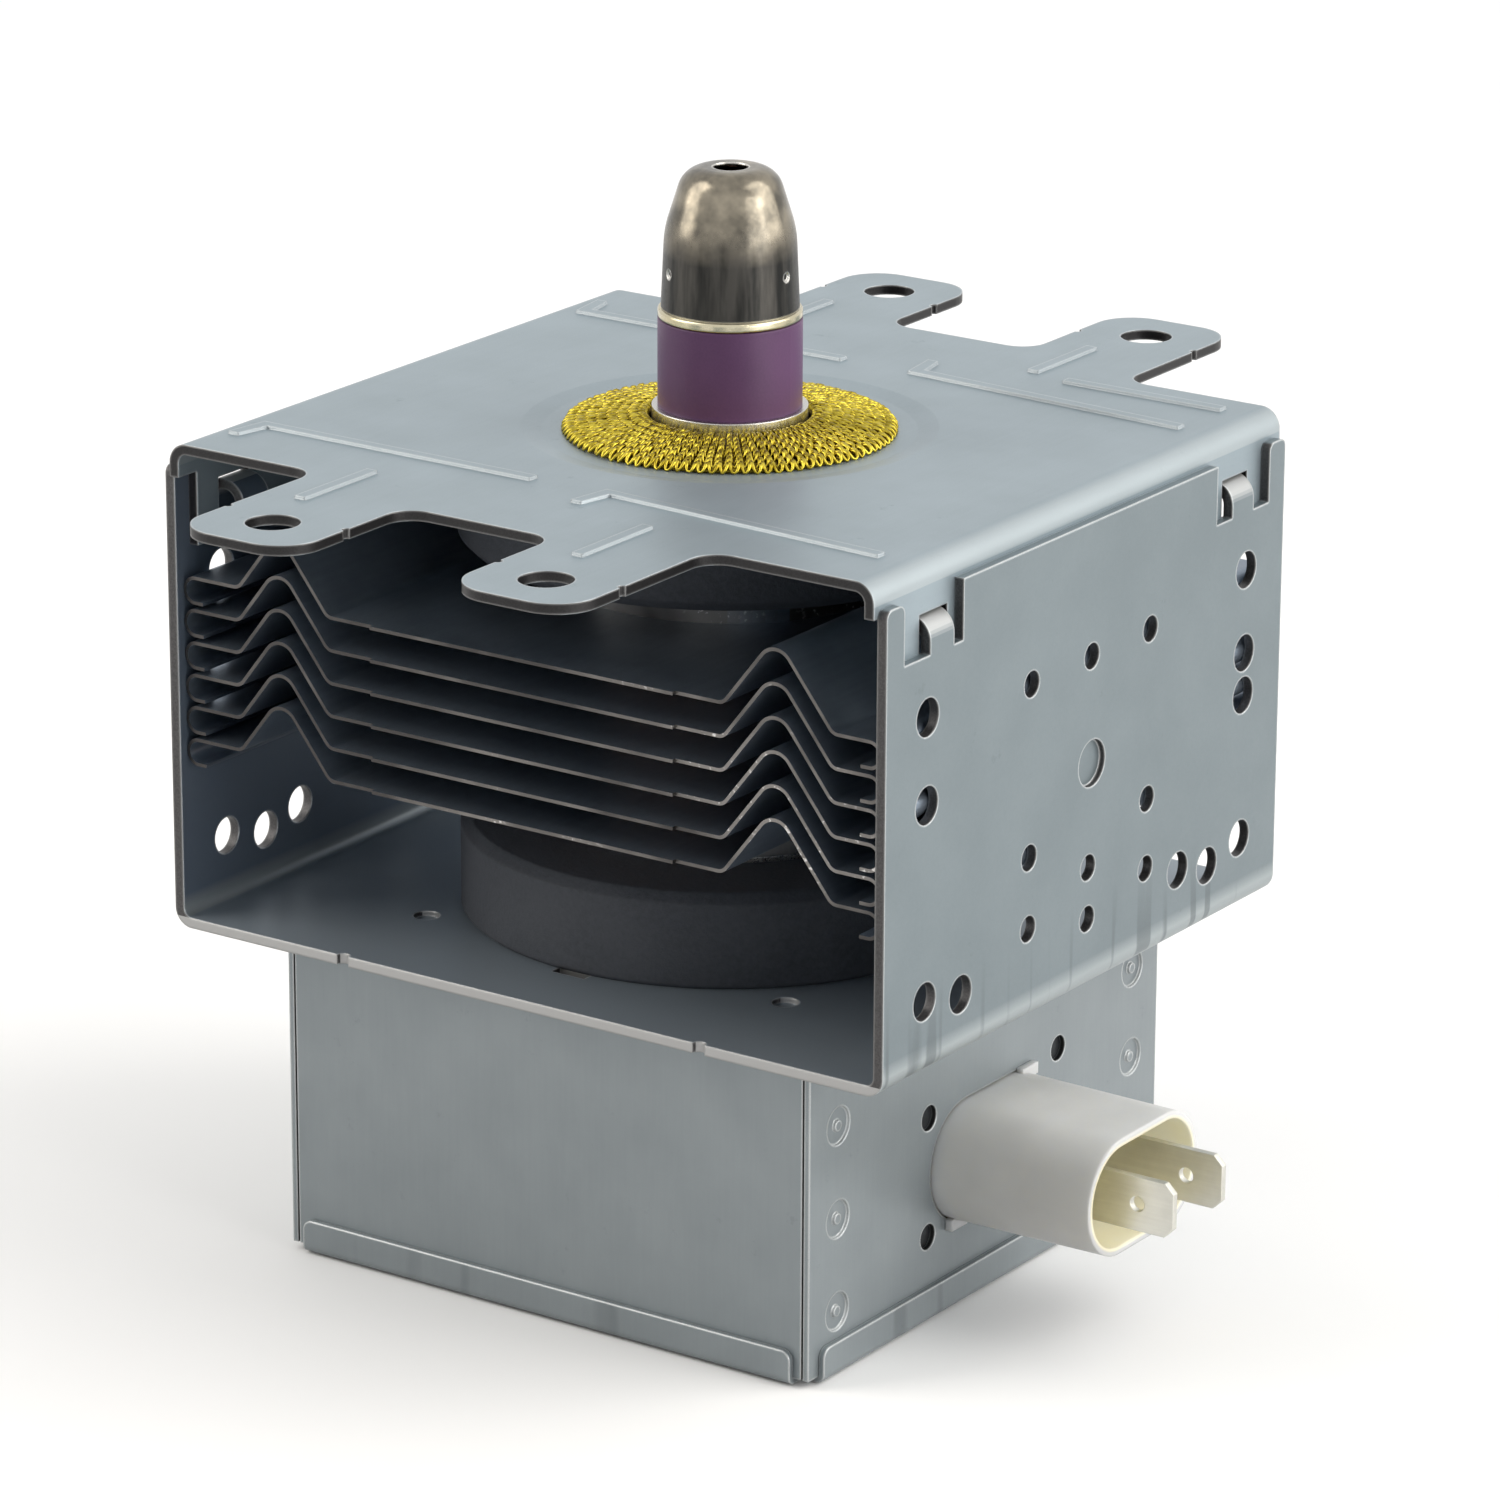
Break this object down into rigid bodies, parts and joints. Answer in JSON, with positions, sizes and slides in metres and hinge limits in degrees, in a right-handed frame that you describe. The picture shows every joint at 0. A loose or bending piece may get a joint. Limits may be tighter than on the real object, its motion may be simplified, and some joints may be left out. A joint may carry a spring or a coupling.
{
  "type": "magnetron",
  "caption": "Packaged magnetron tube in a folded steel yoke with ring magnets, ridged cooling fins, a filter box with a terminal connector and a capped ceramic antenna.",
  "frame": {"origin": "on the antenna's axis, at the underside of the filter box's lid", "axes": "+Z along the antenna, away from the filter box; +X out of the connector; -Y out of the yoke's front opening, where the fins show; Y is also the line between front and back mounting tabs"},
  "size_m": [0.1113, 0.1336, 0.1248],
  "materials": {
    "zinc_sheet": "zinc-coated steel sheet, dull blue-grey",
    "can_sheet": "zinc-coated steel sheet, dull blue-grey",
    "fin_sheet": "bare aluminium sheet",
    "ferrite": "sintered ferrite, matt near-black",
    "copper": "bare copper",
    "soft_iron": "plated soft iron",
    "strap_metal": "copper-plated steel",
    "seal_metal": "nickel-plated steel",
    "bright_ring": "bright drawn metal with a warm tint",
    "cap_metal": "drawn stainless steel, dark and half bright",
    "violet_ceramic": "violet alumina, matt",
    "white_ceramic": "white alumina, matt",
    "capacitor_ceramic": "brown barium titanate ceramic",
    "knitted_mesh": "knitted brass wire, gold-yellow",
    "cathode_metal": "tungsten and molybdenum, grey",
    "shroud_plastic": "moulded cream-white plastic",
    "blade_metal": "tinned steel",
    "earth_metal": "plated steel"
  },
  "bodies": {
    "root": {"anode_block": "copper", "antenna_cap": "cap_metal", "antenna_lead": "copper", "antenna_seal": "bright_ring", "capacitor_ceramic": "capacitor_ceramic", "cathode_centre_lead": "cathode_metal", "cathode_filament": "cathode_metal", "cathode_side_lead": "cathode_metal", "connector_housing": "shroud_plastic", "cooling_fin_1": "fin_sheet", "cooling_fin_2": "fin_sheet", "cooling_fin_3": "fin_sheet", "cooling_fin_4": "fin_sheet", "cooling_fin_5": "fin_sheet", "cooling_fin_6": "fin_sheet", "earth_plate": "earth_metal", "exhaust_tube": "copper", "filter_can": "can_sheet", "filter_lid": "can_sheet", "input_seal": "seal_metal", "left_choke_coil": "copper", "left_ferrite_core": "ferrite", "left_terminal_blade": "blade_metal", "lower_end_hat": "cathode_metal", "lower_inner_strap": "strap_metal", "lower_magnet": "ferrite", "lower_outer_strap": "strap_metal", "lower_pole_piece": "soft_iron", "output_ceramic": "violet_ceramic", "output_seal": "seal_metal", "rf_gasket": "knitted_mesh", "right_choke_coil": "copper", "right_ferrite_core": "ferrite", "right_terminal_blade": "blade_metal", "stem_ceramic": "white_ceramic", "top_plate": "zinc_sheet", "upper_end_hat": "cathode_metal", "upper_inner_strap": "strap_metal", "upper_magnet": "ferrite", "upper_outer_strap": "strap_metal", "upper_pole_piece": "soft_iron", "yoke_frame": "zinc_sheet"}
  },
  "joints": []
}
